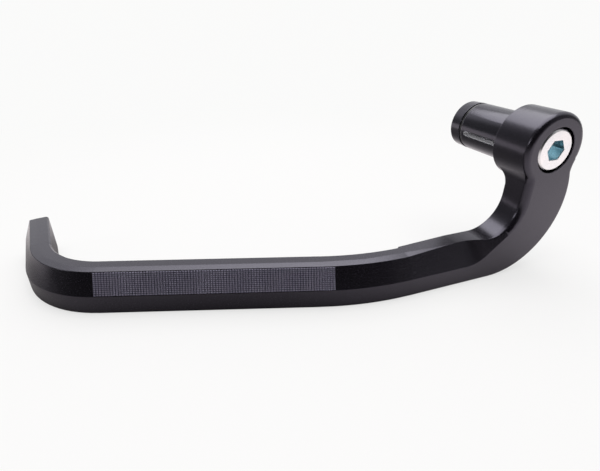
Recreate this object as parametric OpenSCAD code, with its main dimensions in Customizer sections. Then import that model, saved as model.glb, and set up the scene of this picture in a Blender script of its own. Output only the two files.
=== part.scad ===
// Lever guard for a motorcycle handlebar, machined from one aluminium billet.
// A split expander sleeve on the boss grips the bore of the bar when the bolt is tightened.
// Y runs along the bolt, into the bar. Z is up when the guard lies on its flat lower side.
// The origin is on the bolt axis, at the root of the sleeve.

/* [Boss] */
// Diameter of the round boss
boss_d = 22.6; // [20:0.1:28]
// Length of the boss along the bolt
boss_len = 14; // [12:0.1:20]
// Radius that rounds the edge of the boss's outer face
rim_r = 1.7; // [0.6:0.1:2.4]
// Chamfer at the inner rim of the boss
boss_chamfer = 0.5; // [0.2:0.1:1]

/* [Bolt] */
// Thread diameter of the clamp bolt
bolt_d = 8; // [6:0.5:8]
// Diameter of the bolt head
head_d = 13; // [10:0.5:13.5]
// Height of the bolt head
head_h = 8; // [5:0.5:8]
// Length of the bolt under its head
bolt_len = 30; // [28:0.5:30.2]
// Hexagon socket across its flats
hex_af = 6; // [5:0.5:7]
// Depth of the hexagon socket
hex_depth = 4.6; // [3:0.1:5]
// Direction of the hexagon's corners around the bolt, in degrees
hex_turn = 0; // [0:1:60]
// Depth of the bolt head below the outer face
head_recess = 0.1; // [0:0.1:1]
// Free space around the bolt head in its counterbore
head_gap = 0.6; // [0.3:0.1:1.2]

/* [Expander sleeve] */
// Outer diameter of the sleeve, which fits the bore of the bar
sleeve_d = 16.5; // [15:0.1:18]
// Length of the sleeve
sleeve_len = 24.7; // [24:0.1:30]
// Bore of the split part of the sleeve
sleeve_bore_d = 11.2; // [10:0.1:12]
// Length of each slot, from the open end to its round end
slot_len = 17.4; // [12:0.1:18]
// Width of each slot
slot_w = 1.7; // [1:0.1:2.4]
// Number of slots
slot_count = 3; // [2:1:4]
// Direction of the first slot around the bolt, in degrees
slot_angle = -171; // [-180:1:180]
// Depth of the recess in the boss around the root of the sleeve
seat_gap = 0.6; // [0.3:0.1:1]
// Free space around the sleeve in that recess
seat_clear = 0.5; // [0.3:0.1:0.8]
// Length of the cone on the boss that spreads the sleeve
cone_len = 4; // [3:0.1:6]
// Slope of the cone, in degrees
cone_slope = 18; // [12:1:24]
// Amount that the diameter of the sleeve shrinks towards its free end
lead_in = 0.3; // [0.2:0.1:1.2]

/* [Sealing ring] */
// Thickness of the rubber ring
ring_section = 1.2; // [1:0.1:1.6]
// Distance of the ring from the root of the sleeve
ring_y = 19.3; // [19.2:0.1:21]

/* [Arm] */
// Thickness of the arm and of the blade
arm_t = 9; // [8:0.1:10]
// Depth of the flat lower side below the bolt axis
arm_drop = 42.2; // [40:0.1:46]
// Distance of the arm's outermost side from the bolt axis
arm_side_x = 11; // [10:0.1:12]
// Radius that rounds the outer edge of the arm and the lower edge of the blade
edge_r = 0.9; // [0.4:0.1:1.6]
// Radius that rounds the arm's inner edge
crook_r = 2.3; // [1:0.1:3]
// Radius of the outside of the arm's curve
arm_outer_r = 25.9; // [25:0.1:27]
// Radius of the inside of the arm's curve
arm_inner_r = 12; // [8:0.1:13]
// Distance of the arm's inner edge from the bolt axis
arm_edge_x = 7.3; // [6:0.1:8]
// Fillet between the boss and the arm's inner edge
neck_inner_r = 5; // [3:0.1:6]
// Fillet between the boss and the arm's outer edge
neck_outer_r = 10; // [5:0.1:16]
// Fillet between the boss and the back of the arm
back_fillet_r = 4; // [2:0.1:4.3]

/* [Blade] */
// Height of the blade
blade_h = 13.3; // [12:0.1:14]
// Height of the ridge between the plain band and the sloping band
ridge_h = 6.2; // [5:0.1:7]
// Height of the sloping band
slope_h = 6.8; // [5:0.1:6.9]
// Depth of the sloping band
slope_w = 3; // [2.5:0.1:4.5]
// Width of the small chamfer above the sloping band
brow_w = 2.2; // [0.8:0.1:2.6]
// Distance from the bolt axis to the corner where the blade turns inwards
bend_x = 60.8; // [56:0.1:66]
// Angle by which the blade turns inwards
bend_angle = 18.4; // [10:0.1:25]
// Radius of that turn
bend_r = 90; // [60:1:100]
// Length of the blade between the corners of its outline
blade_run = 100; // [80:0.1:120]
// Chamfer along the plain edges of the blade
edge_chamfer = 0.6; // [0.3:0.1:1]

/* [Hook] */
// Angle by which the hook turns away from the blade
hook_angle = 62.4; // [50:0.1:75]
// Outer radius of that turn
hook_r = 32; // [24:0.5:34]
// Length of the hook from the corner of the outline to its tip
hook_run = 42.8; // [34:0.1:50]
// Chamfer at the tip of the hook
tip_chamfer = 1; // [0.4:0.1:2]

/* [Top of the arm] */
// Height of the raised land beside the arm's curve, above the blade
land_h = 0.8; // [0.4:0.1:1.6]
// Distance from the bolt axis to the top of the ramp that leads to the land
land_x = 28.5; // [27:0.5:43]
// Distance between the rising part of the sloping band and the arm's inner edge
rise_gap = 2.2; // [0.2:0.1:3]
// Angle of the rising part of the sloping band
rise_angle = 40; // [35:1:48]
// Radius of the turn between both parts of the sloping band
rise_r = 12; // [9:0.5:16]

/* [Hidden] */
$fn = 96;

// Clearance between surfaces that fit together
fit = 0.05;
// Amount by which a cutter runs past the surface it cuts
over = 1;
// Amount by which a fillet runs into the rounds that it joins
blend = 0.03;
// Share by which a turn's outline is smaller, and the length of each buried end
sink = 0.003;
sink_len = 0.3;
// Clearance around the bolt's shank in the boss, and around the tip of the cone in the sleeve
bolt_clear = 0.25;
tip_clear = 0.3;
// Extra depth and extra width of the groove for the ring, and the ring's distance from its floor
ring_depth = 0.15;
ring_play = 0.1;
ring_lift = 0.02;
// Thickness of the slices at the ends of a tapered cutter
thin = 0.02;
// Small chamfers on the bolt and on the sleeve
head_chamfer = 0.5;
thread_chamfer = 0.6;
sleeve_chamfer = 0.4;
// Half the length of the cone between the sleeve's split bore and its threaded end
bore_ramp = 0.8;

boss_r = boss_d / 2;
face_y = -boss_len;
back_y = face_y + arm_t;
floor_z = -arm_drop;
blade_top = floor_z + blade_h;
ridge_z = floor_z + ridge_h;
land_z = blade_top + land_h;

// The bolt: its head seats on the floor of the counterbore
head_y = face_y + head_recess;
counterbore_r = head_d / 2 + head_gap;
clearance_r = bolt_d / 2 + bolt_clear;

// The cone on the boss and the seat that it meets in the sleeve
sleeve_r = sleeve_d / 2;
cone_tip_r = sleeve_bore_d / 2 - tip_clear;
cone_root_r = cone_tip_r + (cone_len + seat_gap) * tan(cone_slope);
seat_recess_r = sleeve_r + seat_clear;
groove_r = sleeve_r - ring_section - ring_depth;
groove_w = ring_section + ring_play;

// The arm's curve: the outside is tangent to the lower side and the inside to the land
outer_c = [arm_side_x - arm_outer_r, floor_z + arm_outer_r];
inner_c = [-arm_edge_x - arm_inner_r, land_z + arm_inner_r];

// Where the blade's turns begin, measured from the corners of its outline
bend_t = bend_r * tan(bend_angle / 2);
hook_t = hook_r * tan(hook_angle / 2);
straight_len = blade_run - bend_t - hook_t;
hook_len = hook_run - hook_t;
bend_start = bend_x - bend_t;

// The rising part of the sloping band: its highest point, its lowest corner and its length
rise_top = inner_c + (arm_inner_r + rise_gap) * [sin(rise_angle), -cos(rise_angle)];
rise_len = (rise_top[1] - ridge_z) / sin(rise_angle);
rise_x = rise_top[0] - rise_len * cos(rise_angle);

// Centre of a circle of radius r that touches two circles from outside, right of both
function touch_centre(c1, r1, c2, r2, r) =
    let (d = norm(c2 - c1),
         a = (pow(r1 + r, 2) - pow(r2 + r, 2) + d * d) / (2 * d),
         h = sqrt(pow(r1 + r, 2) - a * a),
         u = (c2 - c1) / d)
    c1 + a * u + h * [u[1], -u[0]];

// Points of a quarter circle around c, from angle a0 to a1
function arc_points(c, r, a0, a1, n = 6) =
    [for (i = [0 : n]) let (a = a0 + (a1 - a0) * i / n) c + r * [cos(a), sin(a)]];

// Turns a shape drawn with its axis along Z so that the axis lies along Y
module along_y(x = 0, z = 0) translate([x, 0, z]) rotate([-90, 0, 0]) children();

// Extrudes an X and Z outline from y0 to y1
module slab(y0, y1) translate([0, y1, 0]) rotate([90, 0, 0]) linear_extrude(y1 - y0) children();

// Extrudes a depth and height outline along X from x0 to x1
module bar(x0, x1) translate([x0, 0, 0]) rotate([90, 0, 90]) linear_extrude(x1 - x0) children();

// Disc with a rounded edge at the outer face and a chamfer at the back
module rounded_disc(c, r, y1, chamfer)
    along_y(c[0], c[1]) rotate_extrude(convexity = 4, $fn = 160)
        polygon(concat([[0, face_y]], arc_points([r - edge_r, face_y + edge_r], edge_r, -90, 0),
                       [[r, y1 - chamfer], [r - chamfer, y1], [0, y1]]));

// Cutter for a round hollow whose edge at the outer face is rounded with the radius e
module flared_hole(c, r, e)
    along_y(c[0], c[1]) rotate_extrude(convexity = 4, $fn = 160)
        polygon(concat([[0, face_y - over], [r + e, face_y - over]],
                       arc_points([r + e, face_y + e], e, -90, -180),
                       [[r, back_y + over], [0, back_y + over]]));

// Outline of the bar: depth from the outer face, height from the lower side; front is its upper front
function bar_section(front) =
    concat(arc_points([edge_r, edge_r], edge_r, -90, -180), front,
           [[arm_t - edge_chamfer, blade_h], [arm_t, blade_h - edge_chamfer],
            [arm_t, edge_chamfer], [arm_t - edge_chamfer, 0]]);

// Outline of the blade, with the sloping band and the small chamfer above it
blade_section = bar_section([[0, ridge_h], [slope_w, ridge_h + slope_h], [slope_w + brow_w, blade_h]]);

// The blade's outline swept round a turn of outer radius r. It is a hair smaller than the straight
// parts and a little longer than the turn, so that both of its ends are buried in them.
module blade_turn(r, angle) {
    mid = [arm_t, blade_h] / 2;
    extra = sink_len / r * 180 / PI;
    translate([0, r, 0]) rotate([0, 0, -90 - angle - extra])
        rotate_extrude(angle = angle + 2 * extra, convexity = 4, $fn = 240)
            polygon([for (p = blade_section) let (q = mid + (1 - sink) * (p - mid)) [r - q[0], q[1]]]);
}

// Moves to the end of a turn that starts at the origin and runs towards -X
module after_turn(r, angle) translate([0, r, 0]) rotate([0, 0, -angle]) translate([0, -r, 0]) children();

module hook() {
    tip_side = tip_chamfer / cos(45);
    difference() {
        bar(-hook_len, 0) polygon(blade_section);
        for (y = [0, arm_t]) translate([-hook_len, y, 0])
            rotate([0, 0, 45]) cube([tip_side, tip_side, 3 * blade_h], center = true);
        translate([-hook_len, 0, blade_h]) rotate([0, 45, 0]) cube([tip_side, 3 * arm_t, tip_side], center = true);
    }
}

// The blade from the end of the arm to the tip of the hook
module blade() {
    translate([-bend_start, face_y, floor_z]) {
        blade_turn(bend_r, bend_angle);
        after_turn(bend_r, bend_angle) {
            bar(-straight_len, 0) polygon(blade_section);
            translate([-straight_len, 0, 0]) {
                blade_turn(hook_r, hook_angle);
                after_turn(hook_r, hook_angle) hook();
            }
        }
    }
}

// Boss with a recess around the sleeve's root and the cone that spreads the sleeve
module boss()
    along_y() rotate_extrude(convexity = 4, $fn = 160)
        polygon(concat([[0, face_y]],
                       arc_points([boss_r - rim_r, face_y + rim_r], rim_r, -90, 0),
                       [[boss_r, -boss_chamfer], [boss_r - boss_chamfer, 0], [seat_recess_r, 0],
                        [seat_recess_r, -seat_gap], [cone_root_r, -seat_gap], [cone_tip_r, cone_len],
                        [0, cone_len]]));

// Section of the cutter for the sloping band: depth from the outer face, height from the ridge
module band_section() {
    reach = 3 * slope_h;
    polygon([[0, 0], [reach * slope_w / slope_h, reach], [-over, reach], [-over, 0]]);
}

// One end of the cutter for the small chamfer above the sloping band, at x and higher by rise
module brow_end(x, rise) {
    brow_h = blade_h - ridge_h - slope_h;
    a = (slope_h + rise) * [slope_w / slope_h, 1];
    translate([0, face_y, ridge_z]) bar(x, x + thin)
        polygon([a, a + 3 * [brow_w, brow_h], [-over, a[1] + 3 * brow_h], [-over, a[1]]]);
}

// Cutter for the sloping band: level beside the blade, then rising to the arm's inner edge
module band_cutter() {
    t = rise_r * tan(rise_angle / 2);
    // level part, with the small chamfer, which fades out on the ramp to the land
    translate([0, face_y, ridge_z]) bar(-bend_start, rise_x - t) band_section();
    hull() {
        brow_end(-bend_start, 0);
        brow_end(-land_x, land_z + fit - ridge_z - slope_h);
    }
    // rising part
    translate([rise_x, face_y, ridge_z]) rotate([0, -rise_angle, 0]) bar(t, rise_len) band_section();
    // turn between them
    translate([rise_x - t, face_y, ridge_z + rise_r]) rotate([90, 90, 0])
        rotate_extrude(angle = rise_angle, convexity = 4, $fn = 160)
            polygon([[rise_r, 0], [0, -rise_r * slope_w / slope_h], [0, over], [rise_r, over]]);
}

// Arm: a disc-shaped curve and the foot of the blade, hollowed along the inside of the curve
module arm() {
    neck_z = -sqrt(pow(boss_r + neck_inner_r, 2) - pow(arm_edge_x + neck_inner_r, 2));
    neck_c = [-arm_edge_x - neck_inner_r, neck_z];
    difference() {
        union() {
            intersection() {
                rounded_disc(outer_c, arm_outer_r, back_y, edge_chamfer);
                translate([outer_c[0], face_y - over, -3 * arm_outer_r])
                    cube([3 * arm_outer_r, arm_t + 2 * over, 3 * arm_outer_r]);
            }
            translate([0, face_y, floor_z]) bar(-bend_start, outer_c[0]) polygon(bar_section([[0, blade_h]]));
            slab(face_y, back_y) polygon([[-bend_start, blade_top - over], [-bend_start, blade_top],
                [-land_x, land_z], [inner_c[0], land_z], [inner_c[0], inner_c[1]], [outer_c[0], inner_c[1]],
                [outer_c[0], blade_top - over]]);
        }
        flared_hole(inner_c, arm_inner_r, crook_r);
        // open space above the land and left of the arm
        translate([-3 * arm_outer_r, face_y - over, land_z])
            cube([3 * arm_outer_r + inner_c[0], arm_t + 2 * over, 3 * arm_outer_r]);
        slab(face_y - over, back_y + over)
            polygon([[-3 * arm_outer_r, inner_c[1]], [-arm_edge_x, inner_c[1]], [-arm_edge_x, 3 * arm_outer_r],
                     [-3 * arm_outer_r, 3 * arm_outer_r]]);
        // rounded edge of the arm's straight inner side
        translate([-arm_edge_x, face_y, inner_c[1]]) linear_extrude(3 * arm_outer_r)
            polygon(concat([[-over, -over], [crook_r, -over]],
                           arc_points([crook_r, crook_r], crook_r, -90, -180), [[-over, crook_r]]));
        band_cutter();
    }
    // fillets between the boss and the arm
    difference() {
        slab(face_y, back_y)
            polygon([[0, 0], neck_c, [-arm_edge_x, neck_c[1]], [-arm_edge_x + 2 * crook_r, neck_c[1] - over]]);
        flared_hole(neck_c, neck_inner_r + blend, crook_r);
    }
    // fillet between the boss's underside and the back of the arm
    intersection() {
        along_y() rotate_extrude(convexity = 4, $fn = 160) difference() {
            translate([boss_r - over, back_y - over]) square([back_fillet_r + over, back_fillet_r + over]);
            translate([boss_r + back_fillet_r, back_y + back_fillet_r]) circle(back_fillet_r + blend, $fn = 64);
        }
        slab(back_y - 2 * over, back_y + back_fillet_r + over) intersection() {
            difference() {
                polygon([[0, 0], neck_c, [-arm_edge_x, neck_c[1]], [-arm_edge_x, -3 * boss_r],
                         [3 * boss_r, -3 * boss_r], [3 * boss_r, 0]]);
                translate(neck_c) circle(neck_inner_r + blend, $fn = 160);
            }
            translate(outer_c) circle(arm_outer_r - edge_chamfer, $fn = 160);
        }
    }
    waist_c = touch_centre(outer_c, arm_outer_r, [0, 0], boss_r, neck_outer_r);
    difference() {
        slab(face_y, back_y) polygon([[0, 0], waist_c, outer_c + 0.6 * (waist_c - outer_c)]);
        flared_hole(waist_c, neck_outer_r + blend, (edge_r + rim_r) / 2);
    }
}

module guard_arm() color([0.13, 0.13, 0.15]) difference() {
    union() {
        boss();
        arm();
        blade();
    }
    along_y() translate([0, 0, face_y - over]) cylinder(r = clearance_r, h = boss_len + cone_len + 3 * over);
    along_y() translate([0, 0, face_y - over]) cylinder(r = counterbore_r, h = head_recess + head_h + over);
}

module clamp_bolt() color([0.82, 0.83, 0.84]) difference() {
    seat_y = head_y + head_h;
    end_y = seat_y + bolt_len;
    along_y() rotate_extrude(convexity = 4)
        polygon([[0, head_y], [head_d / 2 - head_chamfer, head_y], [head_d / 2, head_y + head_chamfer],
                 [head_d / 2, seat_y], [bolt_d / 2, seat_y], [bolt_d / 2, end_y - thread_chamfer],
                 [bolt_d / 2 - thread_chamfer, end_y], [0, end_y]]);
    along_y() translate([0, 0, head_y - over]) rotate([0, 0, hex_turn])
        cylinder(d = hex_af / cos(30), h = hex_depth + over, $fn = 6);
}

module expander_sleeve() color([0.15, 0.15, 0.17]) difference() {
    seat_r = cone_root_r - seat_gap * tan(cone_slope) + fit;
    seat_len = (seat_r - sleeve_bore_d / 2) / tan(cone_slope);
    taper_y = ring_y + groove_w / 2 + ring_play;
    along_y() rotate_extrude(convexity = 4, $fn = 128)
        polygon([[seat_r, 0], [sleeve_r, 0], [sleeve_r, ring_y - groove_w / 2], [groove_r, ring_y - groove_w / 2],
                 [groove_r, ring_y + groove_w / 2], [sleeve_r, ring_y + groove_w / 2], [sleeve_r, taper_y],
                 [sleeve_r - lead_in / 2, sleeve_len - sleeve_chamfer],
                 [sleeve_r - lead_in / 2 - sleeve_chamfer, sleeve_len],
                 [bolt_d / 2 + fit, sleeve_len], [bolt_d / 2 + fit, slot_len + bore_ramp],
                 [sleeve_bore_d / 2, slot_len - bore_ramp], [sleeve_bore_d / 2, seat_len]]);
    for (i = [0 : slot_count - 1]) along_y() rotate([0, 0, -slot_angle + i * 360 / slot_count]) {
        translate([bolt_d / 2, -slot_w / 2, -over]) cube([sleeve_d, slot_w, slot_len - slot_w / 2 + over]);
        translate([bolt_d / 2, 0, slot_len - slot_w / 2]) rotate([0, 90, 0]) cylinder(d = slot_w, h = sleeve_d, $fn = 32);
    }
}

module sealing_ring() color([0.05, 0.05, 0.05])
    along_y() translate([0, 0, ring_y]) rotate_extrude($fn = 96)
        translate([groove_r + ring_section / 2 + ring_lift, 0]) circle(d = ring_section, $fn = 24);

guard_arm();
clamp_bolt();
expander_sleeve();
sealing_ring();
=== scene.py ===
"""Looks of a brake lever guard: its finishes, the knurled band, the light, the floor and the camera."""
import math

import bmesh
import bpy
from mathutils import Matrix, Vector

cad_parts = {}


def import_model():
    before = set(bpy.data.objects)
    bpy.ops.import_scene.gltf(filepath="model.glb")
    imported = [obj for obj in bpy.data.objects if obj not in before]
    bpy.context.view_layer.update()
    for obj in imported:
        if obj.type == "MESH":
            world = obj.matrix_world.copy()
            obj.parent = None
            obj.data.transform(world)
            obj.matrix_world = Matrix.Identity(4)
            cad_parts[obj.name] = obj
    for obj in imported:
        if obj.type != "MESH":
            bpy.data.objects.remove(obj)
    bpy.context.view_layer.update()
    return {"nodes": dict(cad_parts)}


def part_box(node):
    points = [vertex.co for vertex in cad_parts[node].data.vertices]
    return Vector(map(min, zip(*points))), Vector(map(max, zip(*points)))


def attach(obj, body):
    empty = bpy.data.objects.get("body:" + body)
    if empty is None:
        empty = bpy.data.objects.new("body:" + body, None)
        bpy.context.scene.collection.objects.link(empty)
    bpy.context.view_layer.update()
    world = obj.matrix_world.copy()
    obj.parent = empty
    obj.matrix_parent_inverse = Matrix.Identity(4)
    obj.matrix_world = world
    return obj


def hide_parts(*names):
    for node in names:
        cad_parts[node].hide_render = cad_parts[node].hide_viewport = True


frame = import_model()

MM = 0.001

# Camera, as worked out from the photograph
CAMERA_AT = Vector((-116.34, -100.98, 36.20)) * MM
CAMERA_RIGHT = Vector((0.93408, -0.35707, 0.00008))
CAMERA_UP = Vector((0.16763, 0.43871, 0.88285))
SENSOR_WIDTH = 36.0
PHOTO_WIDTH = 600
FOCAL_PIXELS = 414.3
CLIP_START = 1.0 * MM

# White that the camera sees around the guard
WHITE = (0.96, 0.96, 0.955)

# Light tent that the surfaces see. It brightens along each of two directions, between two cosines
TENT_COLOUR = (0.97, 0.97, 1.0)
TENT_EDGES = (
    (Vector((0.85, 0.5, 0.12)), -0.16, 0.12),
    (Vector((0.1, 0.9, 0.42)), -0.2, 0.3),
)
TENT_DIM = 0.035
TENT_BRIGHT = 0.92

# Soft lights: name, place, target, size and power
SOFTBOXES = (
    ("top_softbox", (-0.02, 0.18, 0.80), (-0.04, 0.02, -0.02), (0.9, 1.1), 7.2),
    ("left_softbox", (-0.9, -0.05, 0.30), (-0.07, 0.0, -0.02), (0.2, 0.2), 0.5),
)

# Floor
FLOOR_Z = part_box("guard_arm")[0][2]
FLOOR_HALF = 1.5
FLOOR_COLOUR = (0.86, 0.845, 0.835)
FLOOR_ROUGHNESS = 0.7

# White share of the floor in the middle of the guard's shadow, and the distances over which it rises to 1
SHADOW_AT = (-0.07, 0.01, FLOOR_Z)
SHADOW_WHITE = 0.72
SHADOW_FADE = (0.10, 0.30)

# Painted reflection: the floor's colour as only the guard's surfaces mirror it, and a level along X and one
# along Y, of which the higher counts, that paint shade into it. Each has its axis, the places where its
# rise starts and ends, and its values there
PAINTED_REFLECTION_COLOUR = (0.98, 0.92, 0.92)
PAINTED_REFLECTION_SHADE_LEVELS = (
    ("X", -0.22, 0.06, 0.2, 1.0),
    ("Y", 0.05, 0.09, 0.0, 1.0),
)

# Painted shade: a darker patch of the floor behind the blade, seen only in reflections
PAINTED_SHADE_PATCH_AT = Vector((-0.075, 0.06, FLOOR_Z))
PAINTED_SHADE_PATCH_R = 0.05
PAINTED_SHADE_PATCH_LEVEL = 0.2

# Blade, with the same sizes as the guard
FACE_Y = -14.0 * MM
BEND_X = 60.8 * MM
BEND_R = 90.0 * MM
BEND_ANGLE = math.radians(18.4)
STRAIGHT_LEN = 66.04 * MM
RIDGE_H = 6.2 * MM
SLOPE_H = 6.8 * MM
SLOPE_W = 3.0 * MM

# Plane in which the sloping band turns up to the arm, where the solid has a sheet of no thickness
RISE_CENTRE = Vector((-25.292, 0.0, -24.0)) * MM
RISE_ANGLE = math.radians(40)
SHEET_NEAR = 0.003 * MM
SHEET_PARALLEL = 0.99

# Cleaning and easing of the guard's mesh
MERGE = 0.002 * MM
WELD = 0.0005 * MM
FLAT_ANGLE = math.radians(1.2)
SHARP_ANGLE = math.radians(22)
EASE = 0.28 * MM
EASE_STEPS = 2

# Knurled band
KNURL_PITCH = 0.8 * MM
KNURL_ROW = 0.56 * MM
KNURL_SINK = 0.03 * MM
KNURL_HEIGHT = 0.33 * MM
KNURL_MARGIN = 0.22 * MM
KNURL_INTO_BEND = 4.0 * MM
KNURL_BEND_STEPS = 5

# Noise textures: their middle range, over which a pair of colours or of roughness values is spread,
# and how much detail they have
NOISE_LOW = 0.3
NOISE_HIGH = 0.7
PLAIN_DETAIL = 2.0
RICH_DETAIL = 3.0

# Rounding of machined edges in the shading, and the rays that find an edge
EDGE_ROUND = 0.3 * MM
EDGE_RAYS = 8

# Dyed oxide: its gloss, the tint of its reflections, and the grain of the blasted metal under it
OXIDE = {"IOR": 1.76, "Specular Tint": (0.87, 0.83, 1.0, 1.0)}
DYE_CLOUDS = 90.0
BLAST_GRAIN = 5200.0
BLAST_DEPTH = 0.0025 * MM
BLACK_DYES = ((0.0025, 0.002, 0.003), (0.004, 0.003, 0.005))
BLACK_ROUGHNESS = (0.2, 0.28)
# Painted sheen: the knurl's colours, far lighter than the black dye of the same part, stand in for the
# glints on its pyramids
KNURL_PAINTED_SHEEN_COLOURS = ((0.145, 0.136, 0.186), (0.195, 0.183, 0.240))
KNURL_ROUGHNESS = (0.16, 0.24)

# Sleeve, turned on a lathe before it was dyed
SLEEVE_DYES = ((0.003, 0.003, 0.0035), (0.005, 0.005, 0.006))
SLEEVE_ROUGHNESS = (0.08, 0.24)
TURNED_GRAIN = (1.0, 8.0, 1.0)
LONG_STREAKS = (1.0, 0.06, 1.0)
STREAKS = 420.0

# Painted highlight, a lighter colour on the sleeve's sharp edges: its reach, and the cosines between which
# an edge starts to show
EDGE_PAINTED_HIGHLIGHT = (0.10, 0.10, 0.12)
EDGE_WIDTH = 0.25 * MM
EDGE_FLAT = 0.985
EDGE_TURNED = 0.93

# Bare metal in the sleeve's slots and bore, inside this radius and up to this end
CUT_R = 8.1 * MM
CUT_END = 19.0 * MM
CUT_METALS = ((0.82, 0.82, 0.84), (0.93, 0.93, 0.94))
CUT_CLOUDS = 900.0
CUT_ROUGHNESS = 0.5

# Zinc plate of the bolt
PLATE_METALS = ((0.90, 0.91, 0.92), (0.98, 0.96, 0.95))
PLATE_CLOUDS = 260.0
PLATE_ROUGHNESS = (0.18, 0.32)
PLATE_GRAIN = 4200.0
PLATE_DEPTH = 0.002 * MM

# Teal passivation in the recess of the bolt's hexagon, from just behind the head's face to past its floor
RECESS_R = 3.6 * MM
RECESS_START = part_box("clamp_bolt")[0][1] + 0.1 * MM
RECESS_END = RECESS_START + 6.0 * MM
RECESS_METALS = ((0.58, 0.80, 0.87), (0.76, 0.92, 0.97))
RECESS_CLOUDS = 500.0

# Rubber of the sealing ring
RUBBER = {"Base Color": (0.012, 0.012, 0.012, 1.0), "IOR": 1.6}
RUBBER_ROUGHNESS = (0.2, 0.32)
RUBBER_GRAIN = 3000.0
RUBBER_DEPTH = 0.003 * MM


def opaque(colour):
    """The colour with full alpha."""
    return (*colour, 1.0)


def feed(tree, socket, given):
    """Gives the socket another socket's output, or a plain value."""
    if isinstance(given, bpy.types.NodeSocket):
        tree.links.new(given, socket)
    else:
        socket.default_value = given


def position(tree, space="Object"):
    """The shaded point, or in a world's Generated space the direction that is looked in."""
    return tree.nodes.new("ShaderNodeTexCoord").outputs[space]


def parts_of(tree, vector):
    """The X, Y and Z outputs of a vector."""
    split = tree.nodes.new("ShaderNodeSeparateXYZ")
    tree.links.new(vector, split.inputs["Vector"])
    return split.outputs


def combined(tree, operation, first, second):
    """The number that a Math node makes of two sockets or plain values."""
    step = tree.nodes.new("ShaderNodeMath")
    step.operation = operation
    feed(tree, step.inputs[0], first)
    feed(tree, step.inputs[1], second)
    return step.outputs["Value"]


def measured(tree, operation, first, second):
    """The distance or the dot product of two vectors, each of them a socket or a plain value."""
    step = tree.nodes.new("ShaderNodeVectorMath")
    step.operation = operation
    feed(tree, step.inputs[0], first)
    feed(tree, step.inputs[1], second)
    return step.outputs["Value"]


def ramped(tree, value, start, end, low=0.0, high=1.0, curve="LINEAR"):
    """value, mapped from the range between start and end to the range between low and high."""
    ramp = tree.nodes.new("ShaderNodeMapRange")
    ramp.interpolation_type = curve
    for name, limit in (("From Min", start), ("From Max", end), ("To Min", low), ("To Max", high)):
        ramp.inputs[name].default_value = limit
    tree.links.new(value, ramp.inputs["Value"])
    return ramp.outputs["Result"]


def either(tree, choice, off, on, kind):
    """off where choice is 0 and on where it is 1. Both are sockets or plain values of that kind."""
    mix = tree.nodes.new("ShaderNodeMix")
    mix.data_type = kind
    usable = [socket for socket in mix.inputs if socket.enabled]
    for socket, given in zip(usable, (choice, off, on)):
        feed(tree, socket, given)
    return next(socket for socket in mix.outputs if socket.enabled)


def noise(tree, scale, stretch=(1.0, 1.0, 1.0), detail=PLAIN_DETAIL):
    """A noise texture's value. scale counts its features per metre."""
    mapping = tree.nodes.new("ShaderNodeMapping")
    mapping.inputs["Scale"].default_value = stretch
    tree.links.new(position(tree), mapping.inputs["Vector"])
    texture = tree.nodes.new("ShaderNodeTexNoise")
    texture.inputs["Scale"].default_value = scale
    texture.inputs["Detail"].default_value = detail
    tree.links.new(mapping.outputs["Vector"], texture.inputs["Vector"])
    return texture.outputs["Fac"]


def spread(tree, value, low, high):
    """The noise value, spread over the range from low to high."""
    return ramped(tree, value, NOISE_LOW, NOISE_HIGH, low, high)


def tinted(tree, value, dark, light):
    """A colour between dark and light that follows the noise value."""
    ramp = tree.nodes.new("ShaderNodeValToRGB")
    for stop, place, colour in zip(ramp.color_ramp.elements, (NOISE_LOW, NOISE_HIGH), (dark, light)):
        stop.position = place
        stop.color = opaque(colour)
    tree.links.new(value, ramp.inputs["Fac"])
    return ramp.outputs["Color"]


def softened(tree, radius):
    """The surface's normal, rounded within radius of its edges."""
    soft = tree.nodes.new("ShaderNodeBevel")
    soft.samples = EDGE_RAYS
    soft.inputs["Radius"].default_value = radius
    return soft.outputs["Normal"]


def sharp_edges(tree):
    """1 along edges that turn clearly, 0 elsewhere."""
    flat = tree.nodes.new("ShaderNodeNewGeometry").outputs["Normal"]
    match = measured(tree, "DOT_PRODUCT", softened(tree, EDGE_WIDTH), flat)
    return ramped(tree, match, EDGE_FLAT, EDGE_TURNED)


def within(tree, reach, start, end):
    """1 inside the cylinder around the bolt's axis with radius reach, from y = start to y = end, else 0."""
    point = parts_of(tree, position(tree))
    across = tree.nodes.new("ShaderNodeCombineXYZ")
    tree.links.new(point["X"], across.inputs["X"])
    tree.links.new(point["Z"], across.inputs["Z"])
    from_axis = measured(tree, "DISTANCE", across.outputs["Vector"], (0.0, 0.0, 0.0))
    near = combined(tree, "LESS_THAN", from_axis, reach)
    started = combined(tree, "GREATER_THAN", point["Y"], start)
    not_ended = combined(tree, "LESS_THAN", point["Y"], end)
    return combined(tree, "MULTIPLY", near, combined(tree, "MULTIPLY", started, not_ended))


def bumped(tree, shader, value, depth):
    """Roughens the surface by depth metres where value says, and softens its edges."""
    bump = tree.nodes.new("ShaderNodeBump")
    bump.inputs["Distance"].default_value = depth
    tree.links.new(softened(tree, EDGE_ROUND), bump.inputs["Normal"])
    tree.links.new(value, bump.inputs["Height"])
    tree.links.new(bump.outputs["Normal"], shader.inputs["Normal"])


def material(name, constants):
    """A new material, its node tree and its shader, with the constants set on the shader's own sockets."""
    mat = bpy.data.materials.new(name)
    mat.use_nodes = True
    shader = mat.node_tree.nodes["Principled BSDF"]
    for socket, value in constants.items():
        shader.inputs[socket].default_value = value
    return mat, mat.node_tree, shader


def anodised(name, dyes, roughness):
    """Dyed oxide on blasted aluminium: a dark clear layer with a satin gloss."""
    mat, tree, shader = material(name, OXIDE)
    dye = tinted(tree, noise(tree, DYE_CLOUDS, detail=RICH_DETAIL), *dyes)
    grain = noise(tree, BLAST_GRAIN)
    tree.links.new(dye, shader.inputs["Base Color"])
    tree.links.new(spread(tree, grain, *roughness), shader.inputs["Roughness"])
    bumped(tree, shader, grain, BLAST_DEPTH)
    return mat


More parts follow.
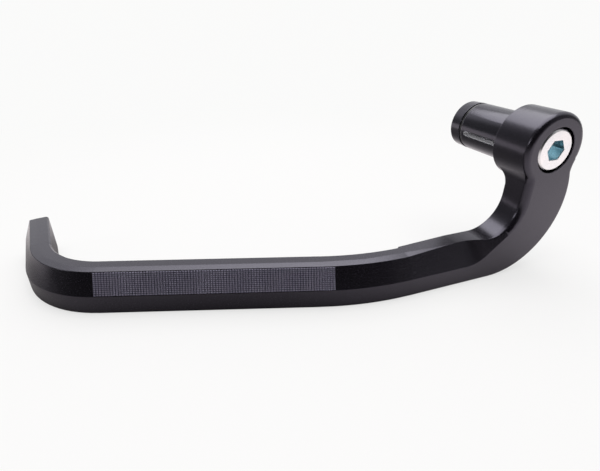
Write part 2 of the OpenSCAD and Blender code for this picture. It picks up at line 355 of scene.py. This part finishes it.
def sleeve():
    """Turned and anodised outside, with a painted highlight on its sharp edges, and bare metal where the
    slots and the bore were cut afterwards.
    """
    mat, tree, shader = material("turned_anodised", OXIDE)
    dye = tinted(tree, noise(tree, DYE_CLOUDS, detail=RICH_DETAIL), *SLEEVE_DYES)
    # Lighter colour along the sharp edges: a painted highlight
    dye_and_edge_highlight = either(tree, sharp_edges(tree), dye, opaque(EDGE_PAINTED_HIGHLIGHT), "RGBA")
    bare = tinted(tree, noise(tree, CUT_CLOUDS, detail=RICH_DETAIL), *CUT_METALS)
    streaks = spread(tree, noise(tree, STREAKS, LONG_STREAKS), *SLEEVE_ROUGHNESS)
    cut = within(tree, CUT_R, 0.0, CUT_END)
    tree.links.new(either(tree, cut, dye_and_edge_highlight, bare, "RGBA"), shader.inputs["Base Color"])
    tree.links.new(either(tree, cut, streaks, CUT_ROUGHNESS, "FLOAT"), shader.inputs["Roughness"])
    bumped(tree, shader, noise(tree, BLAST_GRAIN, TURNED_GRAIN), BLAST_DEPTH)
    return mat


def zinc():
    """Bright zinc plate, with a teal passivation that shows in the hexagon's recess."""
    mat, tree, shader = material("bright_zinc", {"Metallic": 1.0})
    plate = tinted(tree, noise(tree, PLATE_CLOUDS), *PLATE_METALS)
    teal = tinted(tree, noise(tree, RECESS_CLOUDS), *RECESS_METALS)
    recess = within(tree, RECESS_R, RECESS_START, RECESS_END)
    grain = noise(tree, PLATE_GRAIN)
    tree.links.new(either(tree, recess, plate, teal, "RGBA"), shader.inputs["Base Color"])
    tree.links.new(spread(tree, grain, *PLATE_ROUGHNESS), shader.inputs["Roughness"])
    bumped(tree, shader, grain, PLATE_DEPTH)
    return mat


def rubber():
    """Smooth black rubber."""
    mat, tree, shader = material("ring_rubber", RUBBER)
    grain = noise(tree, RUBBER_GRAIN)
    tree.links.new(spread(tree, grain, *RUBBER_ROUGHNESS), shader.inputs["Roughness"])
    bumped(tree, shader, grain, RUBBER_DEPTH)
    return mat


def paint(obj, mat):
    """Gives obj one material."""
    obj.data.materials.clear()
    obj.data.materials.append(mat)


def placed(name, data):
    """A new object in the scene that shows data."""
    obj = bpy.data.objects.new(name, data)
    bpy.context.scene.collection.objects.link(obj)
    return obj


def settled(carrier, name):
    """The evaluated result of carrier as a plain mesh object. The carrier is removed."""
    graph = bpy.context.evaluated_depsgraph_get()
    mesh = bpy.data.meshes.new_from_object(carrier.evaluated_get(graph))
    bpy.data.objects.remove(carrier)
    mesh.name = name
    return placed(name, mesh)


def moved(tree, shape, **changes):
    """shape, changed by the Scale, Rotation or Translation that is given."""
    step = tree.nodes.new("GeometryNodeTransform")
    for socket, value in changes.items():
        step.inputs[socket].default_value = value
    tree.links.new(shape, step.inputs["Geometry"])
    return step.outputs["Geometry"]


def repeated(tree, points, shape):
    """The node that sets shape up on each of the points."""
    step = tree.nodes.new("GeometryNodeInstanceOnPoints")
    tree.links.new(points, step.inputs["Points"])
    tree.links.new(shape, step.inputs["Instance"])
    return step


def knurl_tree(finish):
    """A tree that sets up a comb of pyramids at every pitch of a path, and its inputs' identifiers."""
    tree = bpy.data.node_groups.new("knurl_rows", "GeometryNodeTree")
    inputs = {}
    for name, kind in (
        ("Path", "NodeSocketGeometry"),
        ("Pitch", "NodeSocketFloat"),
        ("Height", "NodeSocketFloat"),
        ("Rows", "NodeSocketInt"),
        ("Row step", "NodeSocketVector"),
    ):
        inputs[name] = tree.interface.new_socket(name, in_out="INPUT", socket_type=kind).identifier
    tree.interface.new_socket("Knurl", in_out="OUTPUT", socket_type="NodeSocketGeometry")
    nodes, links = tree.nodes, tree.links
    given = nodes.new("NodeGroupInput").outputs

    pyramid = nodes.new("GeometryNodeMeshCone")
    pyramid.fill_type = "NGON"
    pyramid.inputs["Vertices"].default_value = 4
    pyramid.inputs["Radius Top"].default_value = 0.0
    corner = combined(tree, "MULTIPLY", given["Pitch"], math.sqrt(0.5))
    links.new(corner, pyramid.inputs["Radius Bottom"])
    links.new(given["Height"], pyramid.inputs["Depth"])
    squared = moved(
        tree, pyramid.outputs["Mesh"], Rotation=(0.0, 0.0, math.pi / 4), Translation=(0.0, 0.0, -KNURL_SINK)
    )
    lean = math.pi / 2 - math.atan2(SLOPE_W, SLOPE_H)
    leaning = moved(tree, squared, Scale=(1.0, KNURL_ROW / KNURL_PITCH, 1.0), Rotation=(lean, 0.0, 0.0))

    column = nodes.new("GeometryNodeMeshLine")
    column.mode = "OFFSET"
    links.new(given["Rows"], column.inputs["Count"])
    links.new(given["Row step"], column.inputs["Offset"])
    comb = repeated(tree, column.outputs["Mesh"], leaning)

    stations = nodes.new("GeometryNodeResampleCurve")
    stations.mode = "LENGTH"
    links.new(given["Path"], stations.inputs["Curve"])
    links.new(given["Pitch"], stations.inputs["Length"])
    facing = nodes.new("FunctionNodeAlignRotationToVector")
    facing.axis = "X"
    facing.pivot_axis = "Z"
    links.new(nodes.new("GeometryNodeInputTangent").outputs["Tangent"], facing.inputs["Vector"])
    band = repeated(tree, stations.outputs["Curve"], comb.outputs["Instances"])
    links.new(facing.outputs["Rotation"], band.inputs["Rotation"])

    real = nodes.new("GeometryNodeRealizeInstances")
    links.new(band.outputs["Instances"], real.inputs["Geometry"])
    finished = nodes.new("GeometryNodeSetMaterial")
    finished.inputs["Material"].default_value = finish
    links.new(real.outputs["Geometry"], finished.inputs["Geometry"])
    links.new(finished.outputs["Geometry"], nodes.new("NodeGroupOutput").inputs["Knurl"])
    return tree, inputs


def blade_point(along, depth, height):
    """A point of the blade, counted from the start of its straight part towards the hook."""
    centre = Vector((-(BEND_X - BEND_R * math.tan(BEND_ANGLE / 2)), FACE_Y + BEND_R))
    turn = BEND_ANGLE + min(along, 0.0) / BEND_R
    outward = Vector((-math.sin(turn), -math.cos(turn)))
    onward = Vector((-math.cos(turn), math.sin(turn)))
    flat = centre + outward * (BEND_R - depth) + onward * max(along, 0.0)
    return Vector((flat.x, flat.y, FLOOR_Z + height))


def knurl_path(depth, height):
    """The path of a row of the knurl, from the hook's end of the straight part into the wide bend."""
    stops = [STRAIGHT_LEN - KNURL_MARGIN]
    stops += [-KNURL_INTO_BEND * step / KNURL_BEND_STEPS for step in range(KNURL_BEND_STEPS + 1)]
    path = bpy.data.curves.new("knurl_path", "CURVE")
    path.dimensions = "3D"
    spline = path.splines.new("POLY")
    spline.points.add(len(stops) - 1)
    for point, along in zip(spline.points, stops):
        point.co = (*blade_point(along, depth, height), 1.0)
    return path


def knurl(finish):
    """The knurled band: rows of small pyramids on the sloping band of the blade."""
    slope = math.hypot(SLOPE_W, SLOPE_H)
    knurled = slope - 2 * KNURL_MARGIN
    rows = round(knurled / KNURL_ROW)
    upwards = Vector((0.0, SLOPE_W, SLOPE_H)) / slope
    row_step = upwards * (knurled / rows)
    first = upwards * KNURL_MARGIN + row_step / 2
    tree, inputs = knurl_tree(finish)
    carrier = placed("knurled_band", knurl_path(first.y, RIDGE_H + first.z))
    modifier = carrier.modifiers.new("knurl", "NODES")
    modifier.node_group = tree
    modifier[inputs["Pitch"]] = KNURL_PITCH
    modifier[inputs["Height"]] = KNURL_HEIGHT
    modifier[inputs["Rows"]] = rows
    modifier[inputs["Row step"]] = row_step
    return settled(carrier, "knurled_band")


def cleaned(mesh):
    """Merges the mesh, and takes out its sheet of no thickness and the needless edges in flat faces."""
    shape = bmesh.new()
    shape.from_mesh(mesh)
    bmesh.ops.remove_doubles(shape, verts=shape.verts[:], dist=MERGE)
    bmesh.ops.dissolve_degenerate(shape, edges=shape.edges[:], dist=MERGE)
    across = Vector((math.cos(RISE_ANGLE), 0.0, math.sin(RISE_ANGLE)))
    sheet = [
        face for face in shape.faces
        if abs(face.normal.dot(across)) > SHEET_PARALLEL
        and all(abs((vert.co - RISE_CENTRE).dot(across)) < SHEET_NEAR for vert in face.verts)
    ]
    bmesh.ops.delete(shape, geom=sheet, context="FACES")
    bmesh.ops.dissolve_limit(shape, angle_limit=FLAT_ANGLE, verts=shape.verts[:], edges=shape.edges[:])
    shape.to_mesh(mesh)
    shape.free()


def eased_guard(finish):
    """A cleaned copy of the guard's own mesh, with its sharp edges eased."""
    mesh = frame["nodes"]["guard_arm"].data.copy()
    cleaned(mesh)
    carrier = placed("guard_carrier", mesh)
    paint(carrier, finish)
    ease = carrier.modifiers.new("ease", "BEVEL")
    ease.width = EASE
    ease.segments = EASE_STEPS
    ease.limit_method = "ANGLE"
    ease.angle_limit = SHARP_ANGLE
    carrier.modifiers.new("cut", "TRIANGULATE")
    joined = carrier.modifiers.new("joined", "WELD")
    joined.merge_threshold = WELD
    level = carrier.modifiers.new("level", "WEIGHTED_NORMAL")
    level.keep_sharp = True
    return settled(carrier, "guard_eased")


def softbox(name, place, target, size, power):
    """A rectangular soft light at place that faces target."""
    data = bpy.data.lights.new(name, "AREA")
    data.shape = "RECTANGLE"
    data.size, data.size_y = size
    data.energy = power
    light = placed(name, data)
    light.location = place
    light.rotation_euler = (Vector(target) - Vector(place)).to_track_quat("-Z", "Y").to_euler()


def shown_white(tree, share, plain, white_node, output_node):
    """Lets the output show plain, and white by the share that is given."""
    white = tree.nodes.new(white_node)
    white.inputs["Color"].default_value = opaque(WHITE)
    mix = tree.nodes.new("ShaderNodeMixShader")
    tree.links.new(share, mix.inputs["Fac"])
    tree.links.new(plain, mix.inputs[1])
    tree.links.new(white.outputs[0], mix.inputs[2])
    tree.links.new(mix.outputs["Shader"], tree.nodes[output_node].inputs["Surface"])


def painted_floor_reflection(tree):
    """The floor's colour as only reflections see it: a painted reflection with painted shade, darker near
    the hook and in a patch behind the blade.
    """
    point = position(tree)
    place = parts_of(tree, point)
    levels = [
        ramped(tree, place[axis], start, end, low, high) for axis, start, end, low, high in PAINTED_REFLECTION_SHADE_LEVELS
    ]
    from_painted_shade_patch = measured(tree, "DISTANCE", point, PAINTED_SHADE_PATCH_AT)
    painted_shade_patch = ramped(
        tree, from_painted_shade_patch, PAINTED_SHADE_PATCH_R, 2 * PAINTED_SHADE_PATCH_R, low=PAINTED_SHADE_PATCH_LEVEL, curve="SMOOTHSTEP"
    )
    scaled = tree.nodes.new("ShaderNodeVectorMath")
    scaled.operation = "SCALE"
    scaled.inputs[0].default_value = PAINTED_REFLECTION_COLOUR
    level = combined(tree, "MULTIPLY", combined(tree, "MAXIMUM", *levels), painted_shade_patch)
    tree.links.new(level, scaled.inputs["Scale"])
    return scaled.outputs["Vector"]


def floor():
    """A pale floor that keeps the shadow near the guard and turns white further off. Reflections see it in
    a painted colour with painted shade.
    """
    mat, tree, shader = material("pale_floor", {"Roughness": FLOOR_ROUGHNESS})
    rays = tree.nodes.new("ShaderNodeLightPath").outputs
    # Glossy rays see the painted reflection colour, with its painted shade, instead of the floor's own
    # colour
    colour = either(tree, rays["Is Glossy Ray"], opaque(FLOOR_COLOUR), painted_floor_reflection(tree), "RGBA")
    tree.links.new(colour, shader.inputs["Base Color"])
    away = measured(tree, "DISTANCE", position(tree), SHADOW_AT)
    fade = ramped(tree, away, *SHADOW_FADE, low=SHADOW_WHITE, curve="SMOOTHSTEP")
    seen = combined(tree, "MULTIPLY", fade, rays["Is Camera Ray"])
    shown_white(tree, seen, shader.outputs["BSDF"], "ShaderNodeEmission", "Material Output")
    mesh = bpy.data.meshes.new("floor")
    corners = [(-1, -1), (1, -1), (1, 1), (-1, 1)]
    mesh.from_pydata([(FLOOR_HALF * x, FLOOR_HALF * y, FLOOR_Z) for x, y in corners], [], [(0, 1, 2, 3)])
    plane = placed("floor", mesh)
    paint(plane, mat)


def world():
    """A light tent, bright behind and above the guard and dim around the camera, that shows as white."""
    room = bpy.data.worlds.new("room")
    bpy.context.scene.world = room
    room.use_nodes = True
    tree = room.node_tree
    low, high = math.sqrt(TENT_DIM), math.sqrt(TENT_BRIGHT)
    levels = []
    for side, dim_until, bright_from in TENT_EDGES:
        facing = measured(tree, "DOT_PRODUCT", position(tree, "Generated"), side.normalized())
        levels.append(ramped(tree, facing, dim_until, bright_from, low, high, "SMOOTHSTEP"))
    tent = tree.nodes["Background"]
    tent.inputs["Color"].default_value = opaque(TENT_COLOUR)
    tree.links.new(combined(tree, "MULTIPLY", *levels), tent.inputs["Strength"])
    rays = tree.nodes.new("ShaderNodeLightPath").outputs
    shown_white(tree, rays["Is Camera Ray"], tent.outputs[0], "ShaderNodeBackground", "World Output")


def camera():
    """The photograph's camera."""
    data = bpy.data.cameras.new("camera")
    data.sensor_width = SENSOR_WIDTH
    data.lens = SENSOR_WIDTH * FOCAL_PIXELS / PHOTO_WIDTH
    data.clip_start = CLIP_START
    view = placed("camera", data)
    back = CAMERA_RIGHT.cross(CAMERA_UP)
    turn = Matrix((CAMERA_RIGHT, CAMERA_UP, back)).transposed().to_4x4()
    view.matrix_world = Matrix.Translation(CAMERA_AT) @ turn
    bpy.context.scene.camera = view


camera()
world()
floor()
for light in SOFTBOXES:
    softbox(*light)

nodes = frame["nodes"]
black = anodised("black_anodised", BLACK_DYES, BLACK_ROUGHNESS)
paint(nodes["guard_arm"], black)
paint(nodes["expander_sleeve"], sleeve())
paint(nodes["clamp_bolt"], zinc())
paint(nodes["sealing_ring"], rubber())

guard = eased_guard(black)
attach(guard, "root")
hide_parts("guard_arm")

# The knurl's lighter colours are painted sheen
band = knurl(anodised("knurled_anodised_painted_sheen", KNURL_PAINTED_SHEEN_COLOURS, KNURL_ROUGHNESS))
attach(band, "root")

bpy.context.scene.view_settings.view_transform = "Standard"
